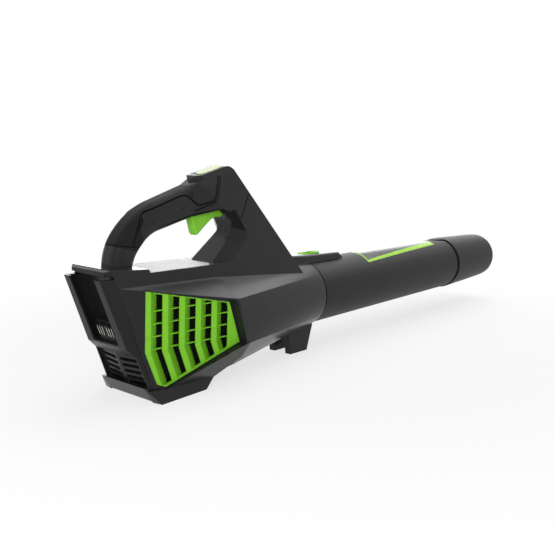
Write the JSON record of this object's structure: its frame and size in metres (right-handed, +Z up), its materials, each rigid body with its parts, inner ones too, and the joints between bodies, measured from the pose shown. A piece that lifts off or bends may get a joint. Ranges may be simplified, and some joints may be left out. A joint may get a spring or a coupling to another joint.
{
  "type": "leaf blower",
  "caption": "Handheld cordless axial leaf blower: faceted black body with loop handle and trigger, louvred side intakes, rear battery dock, straight tube and rounded nozzle.",
  "frame": {"origin": "middle of the whole blower's outline on the surface it stands on", "axes": "+X the way the air leaves, along the tube; +Z up; +Y to the left of someone holding it"},
  "size_m": [0.8854, 0.1526, 0.2666],
  "materials": {
    "housing": "fine spark-textured moulded plastic",
    "soft_grip": "soft moulded-on skin, dull",
    "cover": "fine textured moulded plastic",
    "terminal_base": "smooth moulded plastic",
    "contact_metal": "bright plated contact blades",
    "lime": "satin lime moulded plastic",
    "tube": "smooth satin blow-moulded plastic",
    "nozzle_black": "smooth satin plastic",
    "seal_rubber": "dull rubber ring",
    "spring_steel": "drawn wire",
    "plain_steel": "ground steel",
    "switch_black": "smooth black case",
    "pale_button": "pale satin plastic",
    "duct_plastic": "dark moulded plastic",
    "fan_plastic": "dark glass-filled plastic",
    "motor_alloy": "die-cast alloy",
    "lamination": "stacked steel sheets",
    "copper": "enamelled copper wire",
    "magnet": "plated ring magnet",
    "screw_steel": "dark zinc-plated steel",
    "board_green": "lacquered circuit board",
    "sink_alloy": "extruded alloy fins",
    "capacitor_sleeve": "shrunk plastic sleeve",
    "lead_red": "insulated wire",
    "lead_black": "insulated wire"
  },
  "bodies": {
    "frame": {"housing_right": "housing", "housing_left": "housing", "grip_skin_right": "soft_grip", "grip_skin_left": "soft_grip", "rear_cover": "cover", "terminal_block": "terminal_base", "terminal_blades": "contact_metal", "intake_grille_right": "lime", "intake_grille_left": "lime", "tube_seal": "seal_rubber", "release_spring": "spring_steel", "trigger_pin": "plain_steel", "trigger_spring": "spring_steel", "trigger_switch": "switch_black", "turbo_spring": "spring_steel", "turbo_switch": "switch_black", "fan_duct": "duct_plastic", "motor_can": "motor_alloy", "motor_cap": "motor_alloy", "motor_bearings": "plain_steel", "motor_stator": "lamination", "motor_windings": "copper", "motor_screws": "screw_steel", "tail_cone": "duct_plastic", "controller_board": "board_green", "board_screws": "screw_steel", "heat_sink": "sink_alloy", "capacitors": "capacitor_sleeve", "battery_leads": "lead_red", "motor_lead": "lead_black", "control_lead": "lead_black", "housing_screws": "screw_steel"},
    "tube": {"blower_tube": "tube"},
    "outlet": {"nozzle": "nozzle_black"},
    "trigger_lever": {"trigger": "lime"},
    "push_button": {"turbo_button": "pale_button"},
    "release": {"release_button": "lime"},
    "fan": {"fan_rotor": "fan_plastic", "fan_nut": "plain_steel", "motor_shaft": "plain_steel", "motor_magnet": "magnet"}
  },
  "joints": [
    {"name": "trigger_pull", "type": "hinge", "parent": "frame", "child": "trigger_lever", "pos_m": [-0.23734, 0, 0.218], "axis": [0, 1, 0], "range_deg": [0, 11], "stiffness_Nm_per_rad": 0.6, "springref_deg": -11.46, "deforming": ["trigger_spring"]},
    {"name": "button_press", "type": "slide", "parent": "frame", "child": "push_button", "axis": [0.2366, 0, -0.9716], "range_m": [0, 0.0016], "stiffness_N_per_m": 700, "springref_m": -0.002, "deforming": ["turbo_spring"]},
    {"name": "release_press", "type": "slide", "parent": "frame", "child": "release", "axis": [0, 0, -1], "range_m": [0, 0.0022], "stiffness_N_per_m": 900, "springref_m": -0.002, "deforming": ["release_spring"]},
    {"name": "tube_slide", "type": "slide", "parent": "frame", "child": "tube", "axis": [1, 0, 0], "range_m": [0, 0.06]},
    {"name": "nozzle_slide", "type": "slide", "parent": "tube", "child": "outlet", "axis": [1, 0, 0], "range_m": [0, 0.04]},
    {"name": "fan_spin", "type": "hinge", "parent": "frame", "child": "fan", "pos_m": [-0.19834, 0, 0.08], "axis": [1, 0, 0], "continuous": true}
  ]
}
